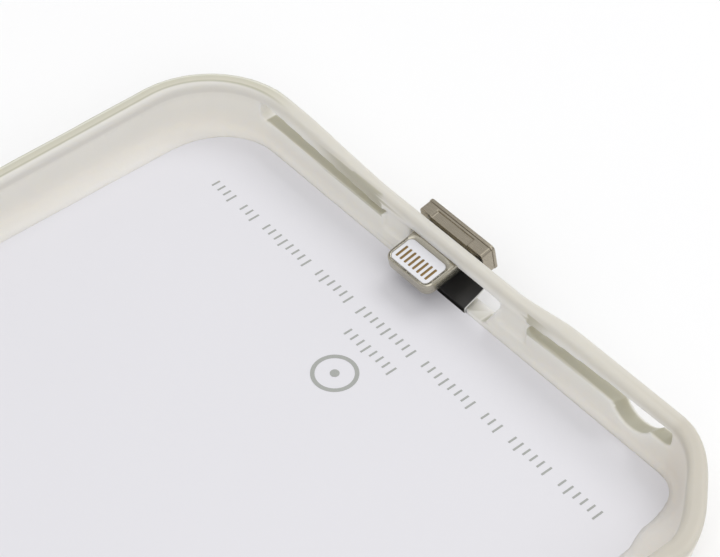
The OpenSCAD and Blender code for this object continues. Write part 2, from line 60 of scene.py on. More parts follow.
# A material with one Principled shader, and the one method that adds any other node
class Finish:
    def __init__(self, name, **fixed):
        self.material = bpy.data.materials.new(name)
        self.material.use_nodes = True
        self.tree = self.material.node_tree
        self.shader = self.tree.nodes["Principled BSDF"]
        for label, value in fixed.items():
            self.shader.inputs[label.replace("_", " ")].default_value = value

    def node(self, kind, sockets=None, out=0, **settings):
        made = self.tree.nodes.new(kind)
        for label, value in settings.items():
            if label == "stops":
                ramp = made.color_ramp
                while len(ramp.elements) < len(value):
                    ramp.elements.new(0.5)
                for element, (place, colour) in zip(ramp.elements, value):
                    element.position, element.color = place, colour
            else:
                setattr(made, label, value)
        for label, value in (sockets or {}).items():
            self.put(made.inputs[label], value)
        return Wire(self, made.outputs[out])

    def put(self, target, value):
        if isinstance(value, Wire):
            self.tree.links.new(value.socket, target)
        else:
            target.default_value = value

    def maths(self, operation, a, b):
        return self.node("ShaderNodeMath", {0: a, 1: b}, operation=operation)

    def feed(self, **links):
        for label, value in links.items():
            self.put(self.shader.inputs[label.replace("_", " ")], value)
        return self

    def place(self):
        return self.node("ShaderNodeTexCoord", out="Object")

    def noise(self, scale, detail=3, where=None):
        return self.node("ShaderNodeTexNoise", {"Vector": where or self.place(), "Scale": scale, "Detail": detail})

    # Colour between a and b, where mask is 0 to 1
    def between(self, mask, a, b):
        return self.node("ShaderNodeMix", {"Factor": mask, 6: a, 7: b}, out=2, data_type="RGBA")

    def bump(self, height, depth):
        return self.node("ShaderNodeBump", {"Height": height, "Distance": depth, "Strength": 1.0})


# Puts points and faces into a new object, points in millimetres, as all lengths are until here
def fillMesh(name, points, faces):
    mesh = bpy.data.meshes.new(name)
    mesh.from_pydata(points.reshape(-1, 3) * mm, [], faces.tolist() if isinstance(faces, np.ndarray) else faces)
    mesh.validate()
    mesh.polygons.foreach_set("use_smooth", np.ones(len(mesh.polygons), bool))
    made = bpy.data.objects.new(name, mesh)
    bpy.context.scene.collection.objects.link(made)
    return made


# Four-sided faces of a grid of rows by columns, each direction open or closed on itself
def gridFaces(rows, columns, closedRows=True, closedColumns=True):
    r = np.arange(rows if closedRows else rows - 1)[:, None]
    c = np.arange(columns if closedColumns else columns - 1)[None, :]
    nextRow, nextColumn = (r + 1) % rows, (c + 1) % columns
    corners = [r * columns + c, r * columns + nextColumn, nextRow * columns + nextColumn, nextRow * columns + c]
    return np.stack(np.broadcast_arrays(*corners), -1).reshape(-1, 4)


# Rises from 0 to 1 as three t squared less two t cubed
def smoothStep(t):
    t = np.clip(t, 0, 1)
    return t * t * (3 - 2 * t)


# Catmull-Rom curve through the points along axis 1, k steps between neighbours
def curveThrough(points, k):
    padded = np.concatenate([2 * points[:, :1] - points[:, 1:2], points, 2 * points[:, -1:] - points[:, -2:-1]], 1)
    a, b, c, d = padded[:, :-3, None], padded[:, 1:-2, None], padded[:, 2:-1, None], padded[:, 3:, None]
    t = (np.arange(k) / k)[None, None, :, None]
    run = 0.5 * (2 * b + (c - a) * t + (2 * a - 5 * b + 4 * c - d) * t ** 2 + (3 * b - a - 3 * c + d) * t ** 3)
    run = run.reshape(len(points), -1, points.shape[2])
    return np.concatenate([run, points[:, -1:]], 1)


# Points round a rounded rectangle in the plane, anticlockwise: a quarter circle round each corner's centre
def roundedLoop(width, height, radius, perCorner=12):
    a = np.linspace(0, np.pi / 2, perCorner)
    turns = np.arange(4)[:, None] * np.pi / 2
    centre = np.array([[1, 1], [-1, 1], [-1, -1], [1, -1]]) * [width / 2 - radius, height / 2 - radius]
    arcs = np.stack([np.cos(a + turns), np.sin(a + turns)], -1) * radius + centre[:, None, :]
    return arcs.reshape(-1, 2)


# Faces of a tube of rows by columns, with one flat face over each end
def tubeFaces(rows, columns):
    ends = [list(range(columns))[::-1], list(range((rows - 1) * columns, rows * columns))]
    return gridFaces(rows, columns, closedRows=False).tolist() + ends


# Straight prism over a loop, from low to high along the third axis, closed by two flat faces
def prism(loop, low, high):
    n = len(loop)
    return np.concatenate([np.column_stack([loop, np.full(n, z)]) for z in (low, high)]), tubeFaces(2, n)


# Several lists of points and faces as one, each face counted on from the points before it
def joined(parts):
    points, faces, start = [], [], 0
    for p, f in parts:
        points.append(p)
        faces += [[i + start for i in face] for face in f]
        start += len(p)
    return np.concatenate(points), faces


def addModifier(made, kind, **settings):
    added = made.modifiers.new(kind.title(), kind)
    for label, value in settings.items():
        setattr(added, label, value)
    return added


# Replaces the mesh by what its modifiers make of it
def bakeModifiers(made):
    graph = bpy.context.evaluated_depsgraph_get()
    graph.update()
    baked = bpy.data.meshes.new_from_object(made.evaluated_get(graph))
    made.modifiers.clear()
    made.data = baked
    return made


def meshPoints(made):
    co = np.zeros(len(made.data.vertices) * 3, np.float32)
    made.data.vertices.foreach_get("co", co)
    return co.reshape(-1, 3)


def giveAttribute(made, name, values):
    made.data.attributes.new(name, "FLOAT", "POINT").data.foreach_set("value", values.astype(np.float32))


def dress(made, finish):
    made.data.materials.clear()
    made.data.materials.append(finish.material)
    return made


# Sizes shared with the solids
case = {"halfW": 41.5, "halfL": 81.45, "cornerR": 11.5, "sideWall": 2.2, "endWall": 1.9, "panelZ": 2.2,
        "floorZ": 3.0, "rimZ": 9.8, "backT": 0.9, "backEdge": 4.6, "backRound": 2.4, "ledgeW": 2.0,
        "sideFoot": 4.1, "endFoot": 2.6, "footH": 2.2, "endFootH": 1.4, "sag": 0.9, "endCut": (-84.0, -77.0),
        "sideCut": (-44.0, -36.0)}
window = {"x": 1.6, "w": 12.4, "flare": 1.5, "flareH": 3.0, "h": 4.4, "sill": 2.25, "cheekD": 0.35,
          "cheekZ": 1.3, "cheekH": 3.0, "cheekLap": 0.15, "hollowX": 2.0, "hollowD": 0.45, "hollowDip": 0.6,
          "hollowHalf": 9.5, "fadeRight": 18.0, "fadeLeft": 9.0}
softFrame = {"endSteps": 320, "farSteps": 80, "cornerSteps": 44, "sideSteps": 150, "voxel": 0.2, "roundSteps": 2,
             "slots": [{"x0": 11.6, "x1": 32.4, "z": 3.0, "inner": 0.8, "outer": 2.3, "corner": 0.7, "bow": 0.0},
                       {"x0": -10.2, "x1": -30.4, "z": 3.25, "inner": 1.25, "outer": 2.35, "corner": 1.1,
                        "bow": 0.3}],
             "jackX": -26.4, "jackR": 3.0, "jackZ": 3.4, "jackTop": 5.6, "jackLean": 0.35,
             "cameraXY": (20.0, 66.95), "cameraWH": (27.0, 13.0), "cameraR": 5.0, "cameraLip": 2.2,
             "muteY": 48.45, "muteWH": (8.0, 4.4), "muteR": 1.2, "buttonZ": 3.4, "buttonH": 2.8, "buttonOut": 0.5,
             "buttons": [(1, 38.45, 11.0), (-1, 34.45, 10.0), (-1, 20.45, 10.0)], "plugRoom": 0.2,
             "pocket": (-2.3, 6.2, 4.6), "trianglesMost": 190000, "trianglesKept": 185000}

# The soft corner beside the jack hole, angles in degrees round it: where it is pressed in, where its lower
# edge is tucked in, and how its foot grows
softCorner = {"alongSide": 36, "alongEnd": 6, "squeeze": 1.35, "squeezeAt": 222, "squeezeSpread": 50,
              "tuck": 1.5, "tuckAt": 196, "tuckSpread": 36, "still": 3, "ease": 5, "coveExtra": 2.7,
              "coveRise": 2.9, "coveEnd": 262, "coveFade": 55, "inBox": 0.002}

plug = {"x": 3.7, "rowY": -77.2, "rowZ": 6.8, "tilt": 11.0, "tongueW": 6.7, "tongueT": 1.5, "tip": 1.7,
        "base": -4.7, "tipR": 1.1, "edge": 0.28, "insulatorW": 5.7, "insulatorL": 3.2, "insulatorY": -0.3,
        "insulatorR": 0.6, "holeGap": 0.03, "holeEdge": 0.06, "steps": 240}


# From the plug's own frame, contact row at the origin and tip along +Y, to the case's
def onPlug(points):
    a = np.radians(plug["tilt"])
    x, y, z = points.reshape(-1, 3).T
    return np.column_stack([x + plug["x"], y * np.cos(a) + z * np.sin(a) + plug["rowY"],
                            z * np.cos(a) - y * np.sin(a) + plug["rowZ"]])


# Share of the hollow in the end wall's rim at x: 1 in the middle, easing to 0 at both sides
def hollowAt(x):
    w = window
    fade = np.where(x > w["hollowX"], w["fadeRight"], w["fadeLeft"])
    return 1 - smoothStep((np.abs(x - w["hollowX"]) - w["hollowHalf"]) / fade)


# Smooth hump that is 1 in the middle and 0 from a distance of 1 on
def hump(t):
    return smoothStep(1 - np.abs(t))


# How far a side wall's rim leans in at y: a parabola that is 0 at both corners
def leanAt(y):
    return case["sag"] * (1 - (y / (case["halfL"] - case["cornerR"])) ** 2)


# Angle in degrees round the soft corner's centre, 180 along the side wall and 270 along the end wall, and
# how near a point is to that corner, easing from 1 to 0 along the two walls
def leftCorner(x, y):
    k = softCorner
    dx, dy = x + case["halfW"] - case["cornerR"], y + case["halfL"] - case["cornerR"]
    angle = np.degrees(np.arctan2(np.minimum(dy, 0), np.minimum(dx, 0) - 1e-6)) % 360
    near = smoothStep(1 - np.maximum(dy, 0) / k["alongSide"]) * smoothStep(1 - np.maximum(dx, 0) / k["alongEnd"])
    return np.where(angle < 90, 180, angle), near


# Rows of x, y, inward normal, share of the end wall's section, hollow and sag, once round the case
def outlineStations():
    c, s = case, softFrame
    flatX, flatY = c["halfW"] - c["cornerR"], c["halfL"] - c["cornerR"]

    def corner(sx, sy, start, shareA, shareB):
        t = np.linspace(0, 1, s["cornerSteps"] + 1)
        a = np.radians(start + 90 * t)
        share = shareA + (shareB - shareA) * smoothStep(t)
        return np.column_stack([sx * flatX + c["cornerR"] * np.cos(a), sy * flatY + c["cornerR"] * np.sin(a),
                                -np.cos(a), -np.sin(a), share, 0 * t, 0 * t])

    def side(sign):
        u = np.linspace(-1, 1, s["sideSteps"] + 1)[1:-1]
        return np.column_stack([0 * u + sign * c["halfW"], sign * u * flatY, 0 * u - sign, 0 * u, 0 * u, 0 * u,
                                c["sag"] * (1 - u * u)])

    def end(sign, share, steps):
        x = sign * np.linspace(-1, 1, steps + 1)[1:-1] * flatX
        return np.column_stack([x, 0 * x - sign * c["halfL"], 0 * x, 0 * x + sign, 0 * x + share,
                                hollowAt(x) if sign > 0 else 0 * x, 0 * x])

    return np.concatenate([end(1, 1, s["endSteps"]), corner(1, -1, -90, 1, 0), side(1), corner(1, 1, 0, 0, 0),
                           end(-1, 0, s["farSteps"]), corner(-1, 1, 90, 0, 0), side(-1),
                           corner(-1, -1, 180, 0, 1)])


# Section at every station: how far in and how high, for a row of points that runs up the outside,
# over the rim, down the inside, round the soft foot and back under the plates
def sectionPoints(rows):
    c, k = case, softCorner
    e, hollow = rows[:, 4], rows[:, 5]
    h, top = hollow * window["hollowD"], c["rimZ"] - hollow * window["hollowDip"]
    wall = c["sideWall"] + (c["endWall"] - c["sideWall"]) * e
    angle, near = leftCorner(rows[:, 0], rows[:, 1])
    grown = near * smoothStep((k["coveEnd"] - angle) / k["coveFade"])
    foot = c["sideFoot"] + (c["endFoot"] - c["sideFoot"]) * e + k["coveExtra"] * grown
    footH = c["footH"] + (c["endFootH"] - c["footH"]) * e + k["coveRise"] * grown
    rim, zero = wall - h, 0 * e
    shell = [(c["backRound"] * (1 - np.sin(a)) + h * np.sin(a) * 0.4, zero + c["backRound"] * (1 - np.cos(a)))
             for a in np.radians(np.arange(0, 91, 22.5))]
    shell += [(h * 0.7, zero + c["floorZ"] + 2), (h, top - 1.4)]
    shell += [(h + rim * across, top - down) for across, down in
              [(0.015, 0.45), (0.09, 0.1), (0.28, 0), (0.74, 0), (0.9, 0.15), (0.98, 0.5)]]
    shell += [(wall, top - 1.1), (wall, zero + c["floorZ"] + footH + 0.3)]
    shell += [(foot - (foot - wall) * np.cos(a), c["floorZ"] + footH * (1 - np.sin(a)))
              for a in np.radians(np.arange(15, 91, 15))]
    under = [(foot, zero + c["panelZ"]), (foot + c["ledgeW"], zero + c["panelZ"]),
             (foot + c["ledgeW"], zero + c["backT"]), (zero + c["backEdge"], zero + c["backT"]),
             (zero + c["backEdge"], zero)]
    stack = lambda run: np.stack([np.stack(point, -1) for point in run], 1)
    return np.concatenate([curveThrough(stack(shell), 3), stack(under)], 1)


# Surface: each station's section, carried in along the station's inward normal
def frameSurface():
    rows = outlineStations()
    section = sectionPoints(rows)
    height = section[..., 1]
    lean = np.maximum(0, height - case["floorZ"]) / (case["rimZ"] - case["floorZ"])
    inward = section[..., 0] + rows[:, 6:7] * lean
    points = np.stack([rows[:, 0:1] + rows[:, 2:3] * inward, rows[:, 1:2] + rows[:, 3:4] * inward, height], -1)
    return points.reshape(-1, 3), gridFaces(len(rows), section.shape[1]).tolist()


# Turns a prism so that it runs along Y through the end wall beside the plug, or along X through a side wall
def throughEnd(loop, x, z, low=case["endCut"][0], high=case["endCut"][1]):
    points, faces = prism(loop[::-1], low, high)
    return np.column_stack([points[:, 0] + x, points[:, 2], points[:, 1] + z]), faces


def throughSide(loop, y, z, low, high):
    points, faces = prism(loop, low, high)
    return np.column_stack([points[:, 2], points[:, 0] + y, points[:, 1] + z]), faces


# Slot seen from the front: rounded lower corners and a sloping, bowed top edge, x0 is the end by the window
def slotLoop(x0, x1, z, inner, outer, corner, bow):
    side = np.sign(x1 - x0)
    a, t = np.radians(np.linspace(180, 270, 9)), np.linspace(1, 0, 15)
    across, up = corner * (1 + np.cos(a)), corner * (1 + np.sin(a))
    near = np.column_stack([x0 + side * across, z + up])
    far = np.column_stack([x1 - side * across, z + up])[::-1]
    top = np.column_stack([x0 + (x1 - x0) * t, z + inner + (outer - inner) * t + 4 * bow * t * (1 - t)])
    return np.concatenate([near, far, top])[::int(side)]


# Cutter of the jack hole: a circle below a flat top whose lower half climbs towards the outside
def jackCutter():
    s, inner = softFrame, -case["halfL"] + case["endWall"]
    loops = []
    for y in case["endCut"]:
        middle = min(s["jackZ"] + s["jackLean"] * (inner - y), s["jackTop"] - 0.2)
        start = np.degrees(np.arcsin((s["jackTop"] - middle) / s["jackR"]))
        a = np.radians(np.linspace(180 - start, 360 + start, 60))[::-1]
        x, z = s["jackX"] + s["jackR"] * np.cos(a), middle + s["jackR"] * np.sin(a) + case["floorZ"]
        loops.append(np.column_stack([x, 0 * a + y, z]))
    return np.concatenate(loops), tubeFaces(2, len(loops[0]))


# Rectangle between two corners, its own corners barely rounded
def boxLoop(x0, x1, y0, y1):
    return roundedLoop(x1 - x0, y1 - y0, 0.05, 3) + [(x0 + x1) / 2, (y0 + y1) / 2]


# Cutters of the two boolean rounds, those that overlap each other are in different rounds
def frameCuts():
    c, s, w, p = case, softFrame, window, plug
    floorZ, inner = c["floorZ"], -c["halfL"] + c["endWall"]
    left, right = w["x"] - w["w"] / 2, w["x"] + w["w"] / 2
    wide = left - w["flare"]
    hole = np.array([(left, 0), (right, 0), (right, w["h"]), (wide, w["h"]), (wide, w["flareH"])])
    first = [throughEnd(slotLoop(**slot), 0, floorZ) for slot in s["slots"]]
    first += [throughEnd(hole, 0, floorZ),
              prism(roundedLoop(*s["cameraWH"], s["cameraR"]) + s["cameraXY"], -1, 5),
              throughSide(roundedLoop(*s["muteWH"], s["muteR"]), s["muteY"], floorZ + s["buttonZ"], *c["sideCut"])]
    second = [jackCutter()]
    for sign, edge, slot in zip((1, -1), (right, wide), s["slots"]):
        ends = sorted([edge, slot["x0"] + sign * w["cheekLap"]])
        second.append(throughEnd(boxLoop(*ends, w["cheekZ"], w["cheekZ"] + w["cheekH"]), 0, floorZ,
                                 inner - w["cheekD"], inner + w["cheekD"]))
    low, high, reachIn = s["pocket"]
    pocket = boxLoop(low, high, -c["halfL"] + w["sill"], -c["halfL"] + reachIn)
    second.append(prism(pocket, c["backT"] - 0.1, floorZ + 0.1))
    room = s["plugRoom"]
    points, faces = prism(boxLoop(-p["tongueW"] / 2 - room, p["tongueW"] / 2 + room, p["base"] - room, p["tip"]),
                          -p["tongueT"] - room, room)
    return first, second + [(onPlug(points), faces)]


# Pulls the soft corner towards its centre, its lower edge further, and keeps all points in the solids' box
def squeezeCorner(points):
    c, k = case, softCorner
    x, y, z = points.T
    angle, near = leftCorner(x, y)
    press = k["squeeze"] * hump((angle - k["squeezeAt"]) / k["squeezeSpread"])
    tuck = k["tuck"] * np.clip(1 - z / c["rimZ"], 0, 1) * hump((angle - k["tuckAt"]) / k["tuckSpread"])
    dx, dy = np.minimum(x + c["halfW"] - c["cornerR"], 0), np.minimum(y + c["halfL"] - c["cornerR"], 0)
    away = np.maximum(np.hypot(dx, dy), 0.5)
    amount = near * (press + tuck) * smoothStep((away - k["still"]) / k["ease"])
    x, y = x - amount * dx / away, y - amount * dy / away
    limit = np.array([c["halfW"] + softFrame["buttonOut"], c["halfL"], c["rimZ"]]) - k["inBox"]
    return np.clip(np.column_stack([x, y, z]), -limit * [1, 1, 0], limit)


# The swept frame, the lip round the camera hole and the button covers are made one skin by the voxel
# remesher, cut, remeshed, smoothed, and the soft corner is squeezed
def buildSoftFrame():
    c, s = case, softFrame
    lipLoop = roundedLoop(s["cameraWH"][0] + 2 * s["cameraLip"], s["cameraWH"][1] + 2 * s["cameraLip"],
                          s["cameraR"] + s["cameraLip"]) + s["cameraXY"]
    solids = [frameSurface(), prism(lipLoop, 0, c["floorZ"])]
    for sign, y, length in s["buttons"]:
        lean = leanAt(y) / 2
        edge = sorted([sign * (c["halfW"] - lean - 1), sign * (c["halfW"] - lean + s["buttonOut"])])
        solids.append(throughSide(roundedLoop(length, s["buttonH"], s["buttonH"] / 2 - 0.01), y,
                                  c["floorZ"] + s["buttonZ"], *edge))
    # Worked on at a thousand times its size, where Blender's remesher has room to work
    points, faces = joined(solids)
    body = fillMesh("softFrame", points / mm, faces)
    voxel = s["voxel"] * 1
    addModifier(body, "REMESH", mode="VOXEL", voxel_size=voxel)
    cutters = []
    for number, cuts in enumerate(frameCuts()):
        points, faces = joined(cuts)
        cutters.append(fillMesh(f"cutter{number}", points / mm, faces))
        addModifier(body, "BOOLEAN", operation="DIFFERENCE", solver="MANIFOLD", object=cutters[-1])
    addModifier(body, "REMESH", mode="VOXEL", voxel_size=voxel)
    addModifier(body, "SMOOTH", factor=0.5, iterations=s["roundSteps"])
    bakeModifiers(body)
    triangles = sum(len(p.vertices) - 2 for p in body.data.polygons)
    if triangles > s["trianglesMost"]:
        addModifier(body, "DECIMATE", ratio=s["trianglesKept"] / triangles)
        bakeModifiers(body)
    for cutter in cutters:
        bpy.data.objects.remove(cutter)
    whole = meshPoints(body)
    paintSoftFrame(body, whole)
    body.data.vertices.foreach_set("co", (squeezeCorner(whole) * mm).astype(np.float32).ravel())
    body.data.update()
    body.data.polygons.foreach_set("use_smooth", np.ones(len(body.data.polygons), bool))
    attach(body, "case")
    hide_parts("bumper_frame")
    return dress(body, softFinish())


# Depth below the outer face, in millimetres, of points in plan: a rounded rectangle's signed distance
def depthInside(x, y):
    qx = np.abs(x) - (case["halfW"] - case["cornerR"])
    qy = np.abs(y) - (case["halfL"] - case["cornerR"])
    outside = np.hypot(np.maximum(qx, 0), np.maximum(qy, 0)) + np.minimum(np.maximum(qx, qy), 0)
    return case["cornerR"] - outside


# Where the painted shade and highlights lie, in millimetres and degrees: depths below the outer face, heights over
# the table, and rooms round the slots, the jack hole and the window's sill
paintedLightPlaces = {"depth": 2.5, "endY": 70, "endFade": 8, "endX": 33, "endXFade": 6, "cornerEnd": 275, "cornerFade": 10,
              "crestDown": 1.3, "crestFade": 1.0, "lipZ": 8.3, "lipFade": 0.5, "coveZ": 6.6, "coveFade": 3.0,
              "coveDepth": 1.6, "coveDepthFade": 0.6, "skin": 0.1, "skinFade": 0.3, "farSkin": 1.85, "jackRoom": 0.6,
              "slotLow": -0.1, "slotEnd": 0.4, "slotFar": 0.3, "under": 0.3, "above": 0.35, "sillRoom": 1.0,
              "sillFade": 0.5, "sillTop": 0.4, "sillLow": -1.5, "sillShare": 0.8, "wallY": -79}


# Attributes: depth runs 0 to 1 below the outer face; the others mask painted shade and highlight lines across the
# rim's edge, painted shade on the rim's top, a painted highlight on the pale foot, painted shade on the soft corner
# and painted shade inside the slots, the jack hole and the sill
def paintSoftFrame(body, points):
    t = paintedLightPlaces
    x, y, z = points.T
    dip = np.where(y < -t["endY"], hollowAt(x), 0)
    lean = np.clip((z - case["floorZ"]) / (case["rimZ"] - case["floorZ"]), 0, 1)
    depth = depthInside(x, y) - np.maximum(leanAt(y), 0) * lean - dip * window["hollowD"]
    endWall = smoothStep((-y - t["endY"]) / t["endFade"]) * smoothStep((t["endX"] - x) / t["endXFade"])
    angle, near = leftCorner(x, y)
    # Painted shade over the soft corner, darkest on its top
    corner = near * smoothStep((t["cornerEnd"] - angle) / t["cornerFade"])
    # Painted shade: the rim's top is darkened, as if less light fell on it
    crest = smoothStep((z - (case["rimZ"] - dip * window["hollowDip"] - t["crestDown"])) / t["crestFade"])
    # Painted shade and highlight lines across the rim's edge, standing for light through the translucent rim
    lip = smoothStep((z - t["lipZ"]) / t["lipFade"]) * (1 - endWall) * (1 - corner)
    # Painted highlight: the pale foot next to the panel is lightened
    foot = smoothStep((depth - t["coveDepth"]) / t["coveDepthFade"])
    giveAttribute(body, "depth", np.clip(depth / t["depth"], 0, 1))
    giveAttribute(body, "lip", lip)
    giveAttribute(body, "cove", smoothStep((t["coveZ"] - z) / t["coveFade"]) * foot)
    giveAttribute(body, "crest", crest)
    giveAttribute(body, "tan", corner)
    # Painted shade inside the slots, the jack hole and on the window's sill; between the wall's two faces there is
    # surface only inside the slots and the jack hole
    high = z - case["floorZ"]
    between = smoothStep((depth - t["skin"]) / t["skinFade"]) * smoothStep((t["farSkin"] - depth) / t["skinFade"])
    deep = np.hypot(x - softFrame["jackX"], high - softFrame["jackZ"]) < softFrame["jackR"] + t["jackRoom"]
    for slot in softFrame["slots"]:
        low, far = sorted([slot["x0"], slot["x1"]])
        clear = t["slotEnd"] if slot["x0"] == low else t["slotLow"]
        deep |= (x > low + clear) & (x < far - t["slotFar"] - clear) & (high > slot["z"] - t["under"])
    sillEnd = window["w"] / 2 + t["sillRoom"] - np.abs(x - window["x"])
    sill = smoothStep(sillEnd / t["sillFade"]) * (high < t["sillTop"]) * (high > t["sillLow"])
    deep = np.maximum(deep * (high < softFrame["jackTop"] + t["above"]), t["sillShare"] * sill)
    giveAttribute(body, "deep", between * deep * (y < t["wallY"]))


# The body and cloud colours are the plastic's own; the foot's pale colour is a painted highlight, the crest, corner
# and slot colours are painted shade, and the ramp across the rim's edge holds painted shade and highlight lines
softColoursAndPaintedLight = {"body": (0.80, 0.785, 0.745, 1), "cove": (0.86, 0.835, 0.79, 1), "crest": (0.63, 0.61, 0.56, 1),
            "corner": (0.80, 0.765, 0.71, 1), "cornerCrestShade": (0.55, 0.52, 0.46, 1), "slot": (0.47, 0.455, 0.37, 1),
            "cloud": (0.62, 0.60, 0.54, 1), "cloudShare": 0.12, "cloudSize": 160.0, "grain": 2600.0,
            "grainDepth": 0.00001, "rough": 0.36, "roughCloud": 0.14,
            "band": [(0.0, (0.40, 0.41, 0.33, 1)), (0.10, (0.47, 0.47, 0.38, 1)), (0.20, (0.70, 0.69, 0.62, 1)),
                     (0.28, (0.55, 0.54, 0.45, 1)), (0.52, (0.60, 0.58, 0.50, 1)), (0.60, (0.44, 0.43, 0.34, 1)),
                     (0.68, (0.68, 0.665, 0.63, 1))]}


# Frosted soft plastic: light goes a little way in, and the painted attributes choose the tint, the painted shade and
# the painted highlights
def softFinish():
    f, t = Finish("softFrame", Roughness=0.42, IOR=1.46, Subsurface_Weight=0.6, Subsurface_Scale=0.0025,
                  Subsurface_Radius=(1.0, 0.95, 0.8), Specular_IOR_Level=0.45), softColoursAndPaintedLight
    mask = lambda name: f.node("ShaderNodeAttribute", out="Fac", attribute_name=name)
    # Painted highlight on the foot
    colour = f.between(mask("cove"), t["body"], t["cove"])
    # Painted shade on the rim's top, darker still over the soft corner
    colour = f.between(mask("crest"), colour, t["crest"])
    cornerShadeColour = f.between(mask("crest"), t["corner"], t["cornerCrestShade"])
    # Painted shade over the soft corner
    colour = f.between(mask("tan"), colour, cornerShadeColour)
    # Painted shade and highlight lines across the rim's edge, by depth below the outer face
    band = f.node("ShaderNodeValToRGB", {"Fac": mask("depth")}, stops=t["band"])
    colour = f.between(mask("lip"), colour, band)
    # Painted shade inside the slots, the jack hole and on the sill
    colour = f.between(mask("deep"), colour, t["slot"])
    cloud = f.noise(t["cloudSize"])
    f.feed(Base_Color=f.between(cloud * t["cloudShare"], colour, t["cloud"]),
           Roughness=t["rough"] + cloud * t["roughCloud"], Normal=f.bump(f.noise(t["grain"], 2), t["grainDepth"]))
    return f


print("soft frame")
buildSoftFrame()


plates = {"panel": {"node": "inner_panel", "colour": (0.745, 0.738, 0.773, 1), "grain": 4200.0},
          "backPlate": {"node": "back_cover", "colour": (0.83, 0.83, 0.84, 1), "grain": 3600.0}}


# Matt moulded plate: faint clouds in colour and gloss, and a fine grain
def plateFinish(name, colour, grain):
    f = Finish(name, Roughness=0.5, Specular_IOR_Level=0.35)
    cloud = f.noise(60.0)
    dark = tuple(v * 0.985 for v in colour[:3]) + (1,)
    f.feed(Base_Color=f.between(cloud, colour, dark), Roughness=0.46 + cloud * 0.1,
           Normal=f.bump(f.noise(grain, 2), 0.000004))
    return f


print("plates and printing")
for name, plate in plates.items():
    dress(nodeObjects[plate["node"]], plateFinish(name, plate["colour"], plate["grain"]))


# Grey print, speckled where the ink is thin
def inkFinish():
    f = Finish("ink", Roughness=0.6, Specular_IOR_Level=0.3)
    speck = f.noise(9000.0, 2)
    f.feed(Base_Color=f.between(speck, (0.32, 0.33, 0.31, 1), (0.44, 0.45, 0.43, 1)))
    return f


dress(nodeObjects["printed_marks"], inkFinish())


# Signed distance to a rounded rectangle whose corners have a radius
def boxDistance(x, y, halfX, halfY, radius):
    qx, qy = np.abs(x) - halfX + radius, np.abs(y) - halfY + radius
    return np.hypot(np.maximum(qx, 0), np.maximum(qy, 0)) + np.minimum(np.maximum(qx, qy), 0) - radius


# How far a ray from a centre runs at each angle before it leaves a shape, found by halving
def reach(distance, centre, angles):
    low, high = np.zeros(len(angles)), np.full(len(angles), 12.0)
    for _ in range(40):
        middle = (low + high) / 2
        inside = distance(centre[0] + middle * np.cos(angles), centre[1] + middle * np.sin(angles)) < 0
        low, high = np.where(inside, middle, low), np.where(inside, high, middle)
    return low


# Signed distance to the tongue in plan: rounded at its tip, square at its base
def tongueDistance(x, y):
    p = plug
    middle, half = (p["tip"] + p["base"]) / 2, (p["tip"] - p["base"]) / 2
    rounded = boxDistance(x, y - middle, p["tongueW"] / 2, half, p["tipR"])
    square = boxDistance(x, y - middle, p["tongueW"] / 2, half, 0.05)
    return np.where(y > middle, rounded, square)


# Tongue: at each angle round the insulator a ring of points goes over the outer edge, along the top to
# the hole, down through it and back along the underside
def buildTongue():
    p = plug
    angles = np.linspace(0, 2 * np.pi, p["steps"], endpoint=False)
    centre = (0.0, p["insulatorY"])
    outer = reach(tongueDistance, centre, angles)
    hole = reach(lambda x, y: boxDistance(x, y - p["insulatorY"], p["insulatorW"] / 2, p["insulatorL"] / 2,
                                          p["insulatorR"]), centre, angles) + p["holeGap"]
    r, t, bevel = p["edge"], p["tongueT"], p["holeEdge"]
    between = outer * 0.5 + hole * 0.5
    a = np.radians(np.linspace(0, 90, 7))
    zero = 0 * angles
    ring = [(outer - r + r * np.cos(v), zero - r + r * np.sin(v)) for v in a]
    ring += [(between, zero), (hole + bevel, zero), (hole, zero - bevel), (hole, zero - t + bevel),
             (hole + bevel, zero - t), (between, zero - t)]
    ring += [(outer - r + r * np.sin(v), zero - t + r - r * np.cos(v)) for v in a]
    radius = np.stack([q[0] for q in ring], 1)
    z = np.stack([q[1] for q in ring], 1)
    points = np.stack([radius * np.cos(angles)[:, None], radius * np.sin(angles)[:, None] + centre[1], z], -1)
    return fillMesh("plugTongue", onPlug(points), gridFaces(len(angles), len(ring)))


# Slab with a rounded-rectangle plan and rounded edges, axes: plan x, plan y, thickness low to high. Loops
# inset along a quarter circle climb round the lower edge and then the upper, closed by a fan at each face
def softSlab(width, height, radius, low, high, edge):
    a = np.radians(np.linspace(0, 90, 6))
    levels = [(edge - edge * np.sin(v), low + edge - edge * np.cos(v)) for v in a]
    levels += [(edge - edge * np.cos(v), high - edge + edge * np.sin(v)) for v in a]
    loops = []
    for inset, z in levels:
        loop = roundedLoop(width - 2 * inset, height - 2 * inset, max(radius - inset, 0.02))
        loops.append(np.column_stack([loop, np.full(len(loop), z)]))
    count, n = len(levels), len(loops[0])
    points = np.concatenate(loops + [[[0, 0, low], [0, 0, high]]])
    faces = gridFaces(count, n, closedRows=False).tolist()
    faces += [[(i + 1) % n, i, count * n] for i in range(n)]
    faces += [[(count - 1) * n + i, (count - 1) * n + (i + 1) % n, count * n + 1] for i in range(n)]
    return points, faces


grip = {"x": -0.3, "w": 9.7, "h": 3.45, "d": 1.35, "plateD": 0.42, "over": 0.08, "recessW": 5.6, "recessX": 0.3,
        "recessL": 1.05, "recessD": 0.2, "cornerR": 0.4, "edge": 0.05, "steps": 161, "depthSteps": 24,
        "plateR": 0.5, "plateEdge": 0.12}


